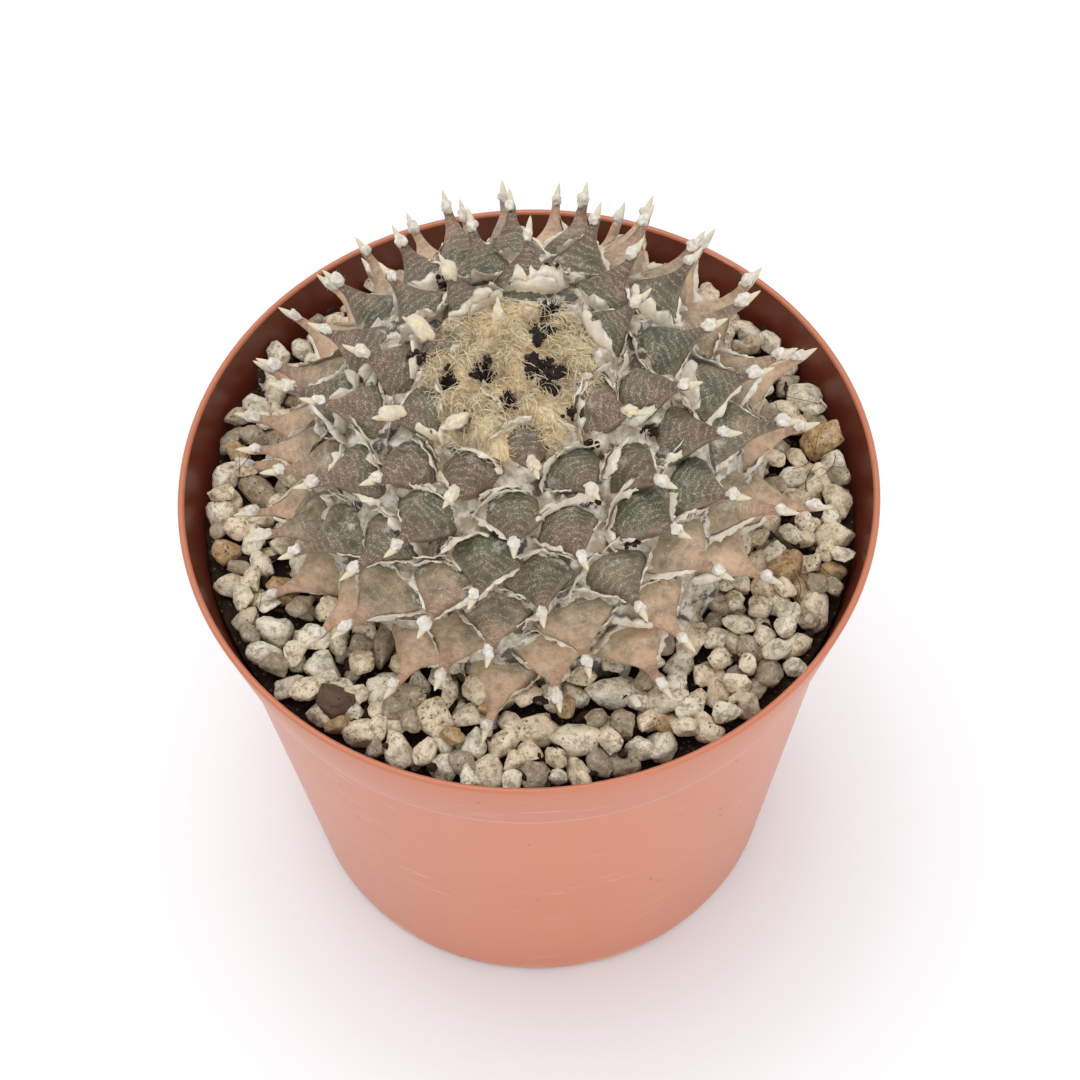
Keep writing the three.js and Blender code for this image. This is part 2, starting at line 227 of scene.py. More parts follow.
class Paint:
    """A procedural material under construction."""

    def __init__(self, name):
        self.material = bpy.data.materials.new(name)
        self.material.use_nodes = True
        self.tree = self.material.node_tree
        self.tree.nodes.clear()

    def node(self, kind, settings, inputs, output=0):
        """Adds a node of a kind, with its settings first and then its inputs, and returns an output."""
        node = self.tree.nodes.new("ShaderNode" + kind)
        for name, value in settings.items():
            setattr(node, name, value)
        for name, value in inputs.items():
            socket = node.inputs[name]
            if isinstance(value, Value):
                self.tree.links.new(value.socket, socket)
            elif socket.type == "RGBA":
                socket.default_value = (*value, 1)
            else:
                socket.default_value = value
        return Value(self, node.outputs[output]) if len(node.outputs) else None

    def maths(self, operation, first, second):
        return self.node("Math", {"operation": operation}, {0: first, 1: second})

    def point(self, stretch=(1, 1, 1)):
        """Object coordinates, stretched along the axes."""
        place = self.node("TexCoord", {}, {}, "Object")
        return self.node("Mapping", {}, {"Vector": place, "Scale": stretch})

    def attribute(self, name):
        return self.node("Attribute", {"attribute_name": name}, {}, "Fac")

    def noise(self, size, detail=3, rough=0.55, distortion=0, at=None):
        """Cloudy noise from 0 to 1 with features of about the given size in metres."""
        settings = {"Vector": at or self.point(), "Scale": 1 / size, "Detail": detail,
                    "Roughness": rough, "Distortion": distortion}
        return self.node("TexNoise", {}, settings)

    def cells(self, size, at=None):
        """Distance to the nearest of scattered points about the given size apart."""
        return self.node("TexVoronoi", {}, {"Vector": at or self.point(), "Scale": 1 / size})

    def band(self, value, low, high):
        """0 below low, 1 above high and smooth between, or the other way round if high is under low."""
        settings = {"interpolation_type": "SMOOTHSTEP"}
        if low <= high:
            return self.node("MapRange", settings, {"Value": value, "From Min": low, "From Max": high})
        ends = {"Value": value, "From Min": high, "From Max": low, "To Min": 1.0, "To Max": 0.0}
        return self.node("MapRange", settings, ends)

    def blend(self, share, first, second):
        """A colour between two others."""
        return self.node("Mix", {"data_type": "RGBA"}, {0: share, 6: first, 7: second}, 2)

    def finish(self, base, rough, height=None, depth=0.0, shine=0.5, **constants):
        """Ends the material: base and rough may vary, and height raises bumps of the given depth."""
        inputs = {"Base Color": base, "Roughness": rough, "Specular IOR Level": shine}
        inputs.update({name.replace("_", " ").title(): value for name, value in constants.items()})
        if height is not None:
            inputs["Normal"] = self.node("Bump", {}, {"Height": height, "Distance": depth, "Strength": 1.0})
        shader = self.node("BsdfPrincipled", {}, inputs)
        self.node("OutputMaterial", {}, {"Surface": shader})
        return self.material


# ---- Materials ----


def pot_plastic(settings):
    paint = Paint("pot_plastic")
    clouds = paint.noise(34 * MM, 4)
    streaks = paint.noise(9 * MM, 5, 0.7, at=paint.point((0.35, 0.35, 2.6)))
    scratches = paint.noise(1.1 * MM, 3, 0.6, at=paint.point((0.05, 0.05, 1.6)))
    height_up = paint.node("SeparateXYZ", {}, {0: paint.node("TexCoord", {}, {}, "Object")}, "Z")
    collar_edge = POT_HEIGHT - settings.collar_height
    # Painted highlight, partly wear: a pale, broken line along the collar's bottom edge.
    wear_and_highlight = paint.band(height_up, collar_edge - 0.1 * MM, collar_edge + 0.15 * MM)
    wear_and_highlight = wear_and_highlight * paint.band(height_up, collar_edge + 0.9 * MM, collar_edge + 0.4 * MM)
    # Painted shadow: a dark band just under the collar's bottom edge.
    shadow_under_collar = paint.band(height_up, collar_edge - 2 * MM, collar_edge - 0.3 * MM)
    shadow_under_collar = shadow_under_collar * paint.band(height_up, collar_edge + 0.1 * MM, collar_edge - 0.2 * MM)
    scuffed = paint.band(streaks, 0.6, 0.78) * paint.band(clouds, 0.42, 0.62)
    hairline = paint.band(scratches, 0.64, 0.7) * paint.band(clouds, 0.44, 0.58)
    specks = paint.band(paint.cells(11 * MM), 0.055, 0.03)
    dark = tuple(0.82 * channel for channel in settings.plastic)
    base = paint.blend(clouds * 0.6, settings.plastic, dark)
    collar = paint.band(height_up, collar_edge, collar_edge + 0.2 * MM)
    base = paint.blend(collar * 0.5, base, dark)
    base = paint.blend(shadow_under_collar * 0.6, base, settings.shadowed)
    base = paint.blend(wear_and_highlight * paint.band(clouds, 0.3, 0.5) * 0.8, base, settings.scuff_and_highlight)
    foot_wear = paint.band(height_up, 5 * MM, 0.5 * MM) * paint.band(streaks, 0.44, 0.6)
    base = paint.blend(foot_wear * 0.7, base, settings.scuff_and_highlight)
    base = paint.blend(scuffed * 0.3 + hairline * 0.6, base, settings.scuff_and_highlight)
    base = paint.blend(specks * 0.55, base, (0.05, 0.02, 0.015))
    # Painted shade: the inner wall is darkened in colour for the shade inside the pot.
    base = paint.blend(paint.attribute("inside") * 0.9, base, settings.shadowed)
    rough = 0.27 + scuffed * 0.25 + clouds * 0.08
    ripple = paint.noise(5 * MM, 2) * 0.3 + scratches * 0.05
    return paint.finish(base, rough, ripple, 0.12 * MM, shine=0.5)


def plant_skin(settings):
    paint = Paint("plant_skin")
    age = paint.attribute("age")
    along = paint.attribute("along")
    edge = paint.attribute("edge")
    upper = paint.attribute("upper")
    horn = paint.attribute("horn")
    tone = paint.attribute("tone")
    clouds = paint.noise(9 * MM, 4, 0.6)
    patches = paint.noise(3.5 * MM, 3, 0.6)
    grain = paint.noise(0.5 * MM, 2, 0.6)
    ripeness = age + clouds * 0.5 + tone * 0.26
    base = paint.blend(paint.band(clouds, 0.35, 0.65), settings.green, screen(98, 94, 72))
    base = paint.blend(paint.band(along + clouds * 0.5 + tone * 0.3, 0.75, 1.25) * 0.9, base, settings.mauve)
    ripe = paint.blend(paint.band(along + patches * 0.4, 0.35, 0.75), screen(182, 176, 140), settings.tan)
    ripe = paint.blend(paint.band(along + clouds * 0.6, 0.85, 1.3) * 0.7, ripe, screen(168, 116, 92))
    base = paint.blend(paint.band(ripeness, 0.78, 1.18), base, ripe)
    wrinkles = paint.noise(1.2 * MM, 4, 0.7, 1.2)
    base = paint.blend(paint.band(wrinkles, 0.5, 0.68) * 0.4, base, screen(118, 104, 80))
    rust = paint.band(patches + clouds, 1.1, 1.35)
    base = paint.blend(rust * 0.4, base, screen(146, 100, 78))
    base = paint.blend(paint.band(patches, 0.56, 0.36) * 0.3, base, screen(70, 68, 58))
    lines = paint.node("Math", {"operation": "SINE"}, {0: along * 95 + clouds * 26})
    growth_lines = paint.band(lines, 0.1, 1.0) * paint.band(paint.noise(0.4 * MM, 3, 0.7), 0.46, 0.62)
    base = paint.blend(growth_lines * upper * 0.5, base, screen(196, 186, 164))
    dots = paint.band(paint.noise(0.3 * MM, 2, 0.7), 0.5, 0.66)
    dots = dots * paint.band(patches + clouds * 0.5, 0.55, 0.9)
    base = paint.blend(dots * 0.5, base, screen(204, 192, 168))
    base = paint.blend(paint.band(edge, 0.86, 1.0) * 0.25, base, screen(170, 150, 128))
    chalk = paint.band(paint.noise(5 * MM, 5, 0.7), 0.54, 0.68) * paint.band(along, 0.62, 0.36)
    base = paint.blend(chalk * 0.5, base, settings.paper)
    base = paint.blend(horn, base, settings.straw)
    rough = 0.52 + grain * 0.2
    bands = paint.node("Math", {"operation": "SINE"}, {0: along * 46 + clouds * 16})
    height = bands * 0.3 + lines * 0.05 + grain * 0.4 + patches * 0.9
    return paint.finish(base, rough, height, 0.22 * MM, shine=0.42, subsurface_weight=0.06,
                        subsurface_scale=1.5 * MM)


def woolly(name, pale, shade, size, streaks=0.35, yellow=None, debris=None):
    """Felted or papery wool: pale, with shaded folds and a fibrous surface."""
    paint = Paint(name)
    clouds = paint.noise(size, 4, 0.6)
    strands = paint.noise(0.35 * MM, 3, 0.65, 1.5)
    if yellow:
        depth = paint.attribute("yellow")
        pale = paint.blend(depth, pale, yellow)
        pale = paint.blend(paint.band(depth, 1.0, 1.4), pale, tuple(0.66 * channel for channel in yellow))
    base = paint.blend(paint.band(clouds, 0.38, 0.66), shade, pale)
    base = paint.blend(strands * streaks, base, tuple(0.62 * channel for channel in shade))
    # Painted shade, partly debris: dark patches in the felt that lies between the tubercles.
    if debris:
        base = paint.blend(paint.band(paint.noise(5 * MM, 4, 0.65), 0.52, 0.6) * 0.85, base, debris)
    return paint.finish(base, 0.92, strands + clouds, 0.3 * MM, shine=0.2, sheen_weight=0.2)


def stone_skin(settings):
    paint = Paint("pumice")
    tone = paint.attribute("tone")
    lava = paint.attribute("lava")
    seed_point = paint.point()
    clouds = paint.noise(4 * MM, 4, 0.6, at=seed_point)
    grain = paint.noise(0.35 * MM, 3, 0.7, at=seed_point)
    pitted = paint.band(paint.noise(7 * MM, 2, at=seed_point), 0.42, 0.6)
    pits = paint.band(paint.cells(1.3 * MM, seed_point) + grain * 0.35, 0.4, 0.28) * pitted
    fine_pits = paint.band(paint.cells(0.6 * MM, seed_point) + grain * 0.3, 0.36, 0.26)
    base = paint.blend(paint.band(tone, 0.1, 0.6), settings.cream, settings.pumice)
    base = paint.blend(paint.band(tone, 0.74, 0.8), base, settings.grey)
    base = paint.blend(paint.band(tone, 0.93, 0.95), base, settings.ochre)
    # Painted shade and highlight: where this relief sinks the surface it is painted brown-grey, and where it
    # raises it, cream.
    shaded_relief = paint.noise(1.7 * MM, 4, 0.7, at=seed_point)
    base = paint.blend(paint.band(clouds, 0.42, 0.66) * 0.45, base, screen(158, 144, 116))
    base = paint.blend(paint.band(shaded_relief, 0.48, 0.64) * 0.6, base, screen(124, 106, 80))
    base = paint.blend(paint.band(shaded_relief, 0.46, 0.34) * 0.4, base, screen(236, 229, 212))
    base = paint.blend(paint.band(clouds, 0.4, 0.25) * 0.5, base, screen(230, 222, 202))
    base = paint.blend(lava, base, settings.lava)
    # Painted shade: the pits are painted dark.
    base = paint.blend(pits * 0.65 + fine_pits * 0.4, base, screen(78, 66, 50))
    base = paint.blend(paint.band(grain, 0.54, 0.68) * 0.3, base, screen(118, 106, 88))
    height = clouds * 0.8 + grain * 0.5 - shaded_relief * 1.2 - pits * 0.8 - fine_pits * 0.4
    return paint.finish(base, 0.93, height, 0.5 * MM, shine=0.25)


def bark_skin(settings):
    paint = Paint("bark_and_soil")
    clouds = paint.noise(3 * MM, 4, 0.6)
    crumbs = paint.cells(1.4 * MM)
    base = paint.blend(clouds, settings.bark, tuple(0.4 * channel for channel in settings.bark))
    base = paint.blend(paint.band(crumbs, 0.3, 0.1) * 0.4, base, screen(150, 138, 116))
    return paint.finish(base, 0.95, clouds + crumbs, 0.8 * MM, shine=0.2)


def flower_skin(settings):
    paint = Paint("dried_flower")
    clouds = paint.noise(1.6 * MM, 4, 0.6)
    base = paint.blend(paint.band(clouds, 0.5, 0.75), settings.flower, screen(84, 58, 42))
    return paint.finish(base, 0.8, clouds, 0.4 * MM, shine=0.3)


# ---- Mesh helpers ----


def finish_piece(shape, name, material, replaced=(), sharp_angle=None):
    """Turns a bmesh into a piece that rides on the pot, in a material slot's finish."""
    mesh = bpy.data.meshes.new(name)
    shape.to_mesh(mesh)
    shape.free()
    mesh.polygons.foreach_set("use_smooth", [True] * len(mesh.polygons))
    if sharp_angle is not None:
        mesh.set_sharp_from_angle(angle=sharp_angle)
    mesh.materials.append(material)
    piece = bpy.data.objects.new(name, mesh)
    bpy.context.scene.collection.objects.link(piece)
    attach(piece, "root")
    if replaced:
        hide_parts(*replaced)
    return piece


def template(shape):
    """Stores a bmesh as a mesh that stamp() can copy many times."""
    mesh = bpy.data.meshes.new("template")
    shape.to_mesh(mesh)
    shape.free()
    return mesh


def rod_template(sides, rings):
    """A closed rod of radius 1 from z = 0 to z = 1."""
    shape = bmesh.new()
    bmesh.ops.create_cone(shape, cap_ends=True, segments=sides, radius1=1, radius2=1, depth=1)
    bmesh.ops.translate(shape, verts=shape.verts, vec=(0, 0, 0.5))
    upright = [e for e in shape.edges if abs(e.verts[0].co.z - e.verts[1].co.z) > 0.5]
    bmesh.ops.subdivide_edges(shape, edges=upright, cuts=rings - 1)
    return template(shape)


def ball_template(subdivisions):
    shape = bmesh.new()
    bmesh.ops.create_icosphere(shape, subdivisions=subdivisions, radius=1)
    return template(shape)


def sheet_template(columns, rows):
    """A flat sheet from 0 to 1 along X and Y."""
    shape = bmesh.new()
    bmesh.ops.create_grid(shape, x_segments=columns, y_segments=rows, size=0.5)
    bmesh.ops.translate(shape, verts=shape.verts, vec=(0.5, 0.5, 0))
    return template(shape)


def stamp(shape, mesh, place):
    """Adds a copy of a template, moves each vertex by place(vertex position) and returns the copy."""
    first = len(shape.verts)
    shape.from_mesh(mesh)
    shape.verts.ensure_lookup_table()
    copied = shape.verts[first:]
    for vertex in copied:
        vertex.co = place(vertex.co)
    return copied


def turned(profile, steps):
    """A profile of (radius, z) points turned about Z into a closed shape."""
    shape = bmesh.new()
    verts = [shape.verts.new((radius, 0, z)) for radius, z in profile]
    edges = [shape.edges.new(pair) for pair in zip(verts, verts[1:])]
    bmesh.ops.spin(shape, geom=verts + edges, cent=(0, 0, 0), axis=(0, 0, 1), angle=2 * math.pi,
                   steps=steps, use_merge=True)
    bmesh.ops.remove_doubles(shape, verts=shape.verts, dist=1e-6)
    bmesh.ops.recalc_face_normals(shape, faces=shape.faces)
    return shape


def arc(centre, radius, start, end, steps):
    """Points of an arc about a centre (radius, z), between two angles."""
    angles = [mix(start, end, i / steps) for i in range(steps + 1)]
    return [(centre[0] + radius * math.cos(a), centre[1] + radius * math.sin(a)) for a in angles]


def wobble(point, size, amount):
    """A smooth random offset vector."""
    return noise.noise_vector(point / size) * amount


def random_direction(chance):
    return Vector((chance.gauss(0, 1), chance.gauss(0, 1), chance.gauss(0, 1))).normalized()


def tumbled(chance, tip, spin):
    """A random lie on the gravel: tipped by up to an angle, then spun by up to another."""
    return Euler((chance.uniform(-tip, tip), chance.uniform(-tip, tip), chance.uniform(0, spin))).to_matrix()


def strand(shape, mesh, path, radius):
    """A tapered fibre along path(share), which gives points from 0 to 1."""
    def place(co):
        middle = path(co.z)
        ahead = path(co.z + 0.02) - middle
        side = ahead.cross(Vector((0.3, 0.2, 1))).normalized()
        lift = side.cross(ahead).normalized()
        return middle + (side * co.x + lift * co.y) * radius * (1 - 0.7 * co.z)
    return stamp(shape, mesh, place)


# ---- Pot ----


def pot_profile(pot):
    """The pot's outline from the axis under the floor, out, up, over the rim and back down inside."""
    collar_foot = RIM_RADIUS - pot.collar_taper
    body_top = collar_foot - pot.ledge
    base = body_top - pot.body_taper
    ledge_z = POT_HEIGHT - pot.collar_height
    floor_top = pot.foot_height + pot.wall
    lip = pot.wall / 2
    lip_centre = (RIM_RADIUS - lip, POT_HEIGHT - lip)
    quarter = math.pi / 2
    soft = 0.35 * MM
    return [
        (0, pot.foot_height),
        (base - pot.foot_width - pot.foot_height / 2, pot.foot_height),
        (base - pot.foot_width - soft, soft),
        (base - pot.foot_width, 0),
        *arc((base - pot.corner, pot.corner), pot.corner, -quarter, 0, 8),
        (body_top, ledge_z - soft),
        (body_top + soft, ledge_z),
        (collar_foot - soft, ledge_z),
        (collar_foot, ledge_z + soft),
        *arc(lip_centre, lip, 0, 2 * quarter, 8),
        (collar_foot - pot.wall, ledge_z + pot.wall),
        (body_top - pot.wall, ledge_z),
        (base - pot.wall, floor_top),
        (0, floor_top),
    ]


def mark_inside(piece, pot):
    """Marks the inner wall, which is painted darker as the shade inside the pot."""
    mesh = piece.data
    inside = mesh.attributes.new("inside", "FLOAT", "POINT")
    collar_slope = pot.collar_taper / pot.collar_height
    body_height = POT_HEIGHT - pot.collar_height
    for vertex in mesh.vertices:
        z = vertex.co.z
        outer = RIM_RADIUS - collar_slope * (POT_HEIGHT - z)
        if z < body_height:
            outer = RIM_RADIUS - pot.collar_taper - pot.ledge - pot.body_taper * (1 - z / body_height)
        under_lip = z < POT_HEIGHT - pot.wall * 0.45
        within_wall = math.hypot(*vertex.co.xy) < outer - pot.wall * 0.7
        inside.data[vertex.index].value = 1 if under_lip and within_wall else 0


def cut_drain_holes(piece, pot):
    """Cuts the drain holes through the floor with a Boolean that is applied to the mesh."""
    shape = bmesh.new()
    for i in range(pot.holes):
        turn = 2 * math.pi * i / pot.holes
        place = Matrix.Translation((pot.hole_circle * math.cos(turn), pot.hole_circle * math.sin(turn),
                                    pot.foot_height))
        bmesh.ops.create_cone(shape, cap_ends=True, segments=32, radius1=pot.hole_radius,
                              radius2=pot.hole_radius, depth=4 * pot.wall, matrix=place)
    cutter = bpy.data.objects.new("cutter", template(shape))
    bpy.context.scene.collection.objects.link(cutter)
    cut = piece.modifiers.new("drain holes", "BOOLEAN")
    cut.operation = "DIFFERENCE"
    cut.object = cutter
    graph = bpy.context.evaluated_depsgraph_get()
    mesh = bpy.data.meshes.new_from_object(piece.evaluated_get(graph))
    piece.modifiers.clear()
    piece.data = mesh
    bpy.data.objects.remove(cutter)


class CACTUS_OT_pot(bpy.types.Operator):
    """Turn the nursery pot and cut its drain holes"""
    bl_idname = "cactus.pot"
    bl_label = "Pot"

    def execute(self, context):
        pot = values(context, "cactus_pot")
        material = pot_plastic(pot)
        shape = turned(pot_profile(pot), 160)
        piece = finish_piece(shape, "pot_shell", material, ["pot"], math.radians(28))
        cut_drain_holes(piece, pot)
        mark_inside(piece, pot)
        return {"FINISHED"}


# ---- Plant ----


def plant_placement(plant):
    turn = Euler((plant.lean_forward, 0, 0)).to_matrix() @ Euler((0, plant.lean_sideways, 0)).to_matrix()
    centre = Vector((plant.centre_x, plant.centre_y, POT_HEIGHT - plant.below_rim))
    return Matrix.Translation(centre) @ turn.to_4x4()


def dome_height(plant, distance):
    """Height of the stem above its widest level, at a distance from the plant's axis."""
    share = min(distance / plant.dome_radius, 1)
    return plant.dome_height * (1 - share ** plant.fullness) ** (1 / plant.fullness)


class Tubercle:
    """Place, lean and size of one step of the spiral, with a little natural irregularity."""

    FLOWER_STEPS = (2, 5)

    def __init__(self, plant, step):
        chance = random.Random(1000 + step)
        self.plant = plant
        self.step = step
        self.age = (step + plant.first_step) / (plant.count - 1 + plant.first_step)
        fall = self.age * (1 - math.cos(plant.outermost_angle))
        radius = plant.dome_radius * math.sqrt(1 - (1 - fall) ** 2)
        growth = self.age ** 0.3
        azimuth = plant.first_azimuth + step * GOLDEN_ANGLE + chance.uniform(-0.05, 0.05)
        lean = mix(plant.young_lean, plant.old_lean, self.age ** 0.15) + chance.uniform(-0.08, 0.08)
        self.length = mix(plant.young_length, plant.old_length, growth) * chance.uniform(0.92, 1.04)
        self.half_width = mix(plant.young_width, plant.old_width, growth) * chance.uniform(0.92, 1.08)
        self.waist = mix(1.4, 2.1, self.age)
        self.rise = mix(0.65, 0.45, self.age)
        self.keel = mix(0.95, 0.75, self.age)
        self.tone = chance.random()
        self.sideways = chance.uniform(-1, 1) * 1.2 * MM
        self.twist = chance.uniform(-0.16, 0.16)
        self.reach = plant.rooting + self.length
        outward = Vector((math.cos(azimuth), math.sin(azimuth), 0))
        axis = Vector((0, 0, 1))
        along = outward * math.sin(lean) + axis * math.cos(lean)
        upper = axis * math.sin(lean) - outward * math.cos(lean)
        basis = Matrix((along.cross(upper), along, upper)).transposed().to_4x4()
        foot = outward * radius + axis * dome_height(plant, radius)
        self.placement = plant_placement(plant) @ Matrix.Translation(foot) @ basis

    def half_width_at(self, distance):
        """Half width at a distance from the root's end: a full shoulder, then a slender neck."""
        plant = self.plant
        if distance > self.reach:
            past = (distance - self.reach) / plant.horn
            return plant.neck * 0.8 * max(1 - past, 0) ** 0.7 + 0.1 * MM
        share = max(distance - plant.rooting, 0) / self.length
        shoulder = 1 - share * share * (3 - 2 * share)
        root = mix(0.7, 1, min(distance / plant.rooting, 1))
        return (self.half_width - plant.neck) * shoulder ** self.waist * root + plant.neck

    def surface(self, turn, distance, proud=0.0):
        """A point on the skin, or proud of it: turn runs round the section, distance along it."""
        plant = self.plant
        width = self.half_width_at(distance)
        full = self.reach + plant.horn
        roundness = mix(0.35 * (1 - self.age), 1, min(distance / self.reach, 1) ** 4)
        across, rise = math.cos(turn), math.sin(turn)
        if rise >= 0:
            flat = self.rise * (1 - abs(across) ** 2.2)
        else:
            flat = -self.keel * (1 - abs(across) ** 1.35)
        height = mix(flat, rise, roundness)
        share = distance / full
        twist = self.twist * share
        x = (width + proud) * across
        z = width * height + proud * rise
        local = Vector((x * math.cos(twist) - z * math.sin(twist) + self.sideways * share ** 2,
                        distance - plant.rooting,
                        x * math.sin(twist) + z * math.cos(twist) + plant.curl * share ** 2))
        return self.placement @ local


def tubercles(plant):
    return [Tubercle(plant, step) for step in range(plant.count) if step not in Tubercle.FLOWER_STEPS]


class CACTUS_OT_plant(bpy.types.Operator):
    """Grow the stem and its spiral of tubercles"""
    bl_idname = "cactus.plant"
    bl_label = "Cactus"

    def stem(self, plant):
        """The bare stem under the tubercles."""
        quarter = math.pi / 2
        bowl = arc((0, 0), 1, -quarter, 0, 12)
        profile = [(radius * plant.dome_radius, z * plant.bowl_depth) for radius, z in bowl]
        for radius, _ in arc((0, 0), plant.dome_radius, 0, quarter, 24)[1:]:
            profile.append((radius, dome_height(plant, radius)))
        shape = turned(profile, 96)
        bmesh.ops.transform(shape, matrix=plant_placement(plant), verts=shape.verts)
        return template(shape)

    def execute(self, context):
        plant = values(context, "cactus_plant")
        shape = bmesh.new()
        shape.from_mesh(self.stem(plant))
        layers = {name: shape.verts.layers.float.new(name)
                  for name in ("age", "along", "edge", "upper", "horn", "tone")}
        rod = rod_template(22, 26)
        for tubercle in tubercles(plant):
            full = tubercle.reach + plant.horn
            spots = []

            def place(co):
                turn = math.atan2(co.y, co.x)
                distance = co.z * full
                spots.append((turn, distance))
                point = tubercle.surface(turn, distance)
                fade = min(1, (1 - co.z) * 4)
                swelling = wobble(point, 5 * MM, 0.55 * MM * fade)
                return point + swelling + wobble(point, 1.6 * MM, 0.12 * MM * fade)

            for vertex, (turn, distance) in zip(stamp(shape, rod, place), spots):
                vertex[layers["age"]] = tubercle.age
                vertex[layers["along"]] = min(distance / tubercle.reach, 1)
                vertex[layers["edge"]] = abs(math.cos(turn))
                vertex[layers["upper"]] = max(math.sin(turn), 0) ** 0.5
                vertex[layers["horn"]] = 1 if distance > tubercle.reach + 0.2 * MM else 0
                vertex[layers["tone"]] = tubercle.tone
        finish_piece(shape, "cactus_body", plant_skin(plant), ["cactus"])
        return {"FINISHED"}


class CACTUS_OT_areoles(bpy.types.Operator):
    """Put a tuft of wool on each areole, long and yellow on the young ones"""
    bl_idname = "cactus.areoles"
    bl_label = "Areoles"

    YOUNG = 0.17
    HAIRS = 16

    def execute(self, context):
        plant = values(context, "cactus_plant")
        chance = random.Random(21)
        shape = bmesh.new()
        yellow = shape.verts.layers.float.new("yellow")
        ball = ball_template(3)
        rod = rod_template(3, 3)
        for tubercle in tubercles(plant):
            youth = max(1 - tubercle.age / self.YOUNG, 0)
            size = chance.uniform(0.95, 1.3) * (1 + 0.5 * youth) * MM
            longer = 0.9 * youth + chance.uniform(0.1, 0.6)
            centre = tubercle.surface(math.pi / 2, tubercle.reach - mix(0.6, 1.6, youth) * MM, 0.1 * MM)
            along = tubercle.placement.to_3x3() @ Vector((0, 1, 0))

            def puff(co):
                lump = 1 + 0.5 * noise.noise(co * 1.5 + centre / MM) + 0.16 * noise.noise(co * 5)
                return centre + (co + along * co.dot(along) * longer) * size * lump

            tuft = list(stamp(shape, ball, puff))
            for _ in range(self.HAIRS):
                way = random_direction(chance)
                bend = random_direction(chance) * 0.5 * MM
                long = size * chance.uniform(1.15, 1.6)

                def path(share):
                    return centre + way * long * share + bend * share * share

                tuft += strand(shape, rod, path, 0.07 * MM)
            for vertex in tuft:
                vertex[yellow] = min(2.2 * youth, 1)
        material = woolly("areole_wool", plant.wool, screen(228, 216, 198), 1.2 * MM, 0.06, plant.crown)
        finish_piece(shape, "areole_tufts", material)
        return {"FINISHED"}


class CACTUS_OT_axil_wool(bpy.types.Operator):
    """Cover the stem with old felt and set papery wool round the tubercles"""
    bl_idname = "cactus.axil_wool"
    bl_label = "Papery wool"

    def felt(self, plant, material):
        """A crumpled layer of old wool over the bare stem."""
        low = -8 * MM
        profile = [(0, low), (plant.dome_radius, low)]
        for radius, _ in arc((0, 0), plant.dome_radius, 0, math.pi / 2, 80):
            profile.append((max(radius, 0), dome_height(plant, radius)))
        shape = turned(profile, 260)
        for vertex in shape.verts:
            co = vertex.co
            if co.z > low / 2:
                out = Vector((co.x, co.y, co.z * 1.1)).normalized()
                folds = noise.turbulence(co / (7 * MM), 3, True)
                vertex.co = co + out * (0.3 + 3.4 * folds) * MM + wobble(co, 2 * MM, 0.5 * MM)
        bmesh.ops.transform(shape, matrix=plant_placement(plant), verts=shape.verts)
        finish_piece(shape, "axil_felt", material)

    def seam(self, shape, sheet, tubercle, side, chance):
        """A ruffled strip along one edge of a tubercle."""
        plant = tubercle.plant
        first = plant.rooting - 2 * MM
        last = plant.rooting + tubercle.length * chance.uniform(0.3, 0.8)
        tall = chance.uniform(1.2, 3.8) * MM
        lean = chance.uniform(-0.7, 0.5)
        ragged = chance.uniform(0, 50)

        def place(co):
            ruffle = 0.75 + 0.6 * noise.noise(Vector((co.x * 9, ragged, 0)))
            stand = tall * ruffle * co.y * math.sqrt(max(1 - co.x, 0))
            turn = side + (lean * co.y if side else -lean * co.y)
            point = tubercle.surface(turn, mix(first, last, co.x), stand + 0.05 * MM)
            return point + wobble(point, 1.7 * MM, 0.8 * MM * co.y) + wobble(point, 0.7 * MM, 0.25 * MM)

        stamp(shape, sheet, place)

    def collar(self, shape, sheet, tubercle, chance):
        """A ragged sheet round the upper side of a tubercle's foot."""
        start = chance.uniform(-0.6, 1.2)
        sweep = chance.uniform(1.2, 2.8)
        low = tubercle.plant.rooting - chance.uniform(0.5, 2.5) * MM
        tall = chance.uniform(2.4, 6.4) * MM
        ragged = chance.uniform(0, 50)
        forward = chance.uniform(0.2, 1.3)

        def place(co):
            edge = math.sqrt(math.sin(math.pi * min(max(co.x, 0), 1)))
            ruffle = 0.7 + 0.8 * noise.noise(Vector((co.x * 6, ragged, 0)))
            stand = tall * edge * ruffle * co.y
            point = tubercle.surface(start + sweep * co.x, low + stand * forward, stand + 0.1 * MM)
            crumple = wobble(point, 2.4 * MM, 1.2 * MM * co.y) + wobble(point, 0.8 * MM, 0.35 * MM)
            return below_top(point + crumple)

        stamp(shape, sheet, place)

    def execute(self, context):
        plant = values(context, "cactus_plant")
        # The felt's dark patches are painted shade in the axils, partly debris.
        self.felt(plant, woolly("axil_felt", plant.paper, screen(184, 166, 140), 3 * MM, 0.35,
                                debris=screen(48, 38, 30)))
        chance = random.Random(5)
        shape = bmesh.new()
        sheet = sheet_template(26, 4)
        for tubercle in tubercles(plant):
            for side in (0, math.pi):
                if chance.random() < 0.75:
                    self.seam(shape, sheet, tubercle, side, chance)
            for _ in range(chance.choice((2, 2, 3))):
                self.collar(shape, sheet, tubercle, chance)
        bmesh.ops.solidify(shape, geom=shape.faces[:], thickness=0.4 * MM)
        material = woolly("papery_wool", plant.paper, screen(242, 226, 200), 2.5 * MM, 0.06)
        finish_piece(shape, "papery_wool", material)
        return {"FINISHED"}


def below_top(point):
    """The point, lowered if it stands above the top of the CAD's box."""
    return Vector((point.x, point.y, min(point.z, CAD_BOX[1].z - 0.2 * MM)))


def flower_spots(plant):
    """Place (x, y) and radius of each dried flower, seen along the plant's axis."""
    back = plant_placement(plant).inverted()
    spots = []
    for name in FLOWER_NODES:
        low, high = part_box(name)
        centre = back @ ((low + high) / 2)
        spots.append((centre.x, centre.y, (high.x - low.x) / 2))
    return spots


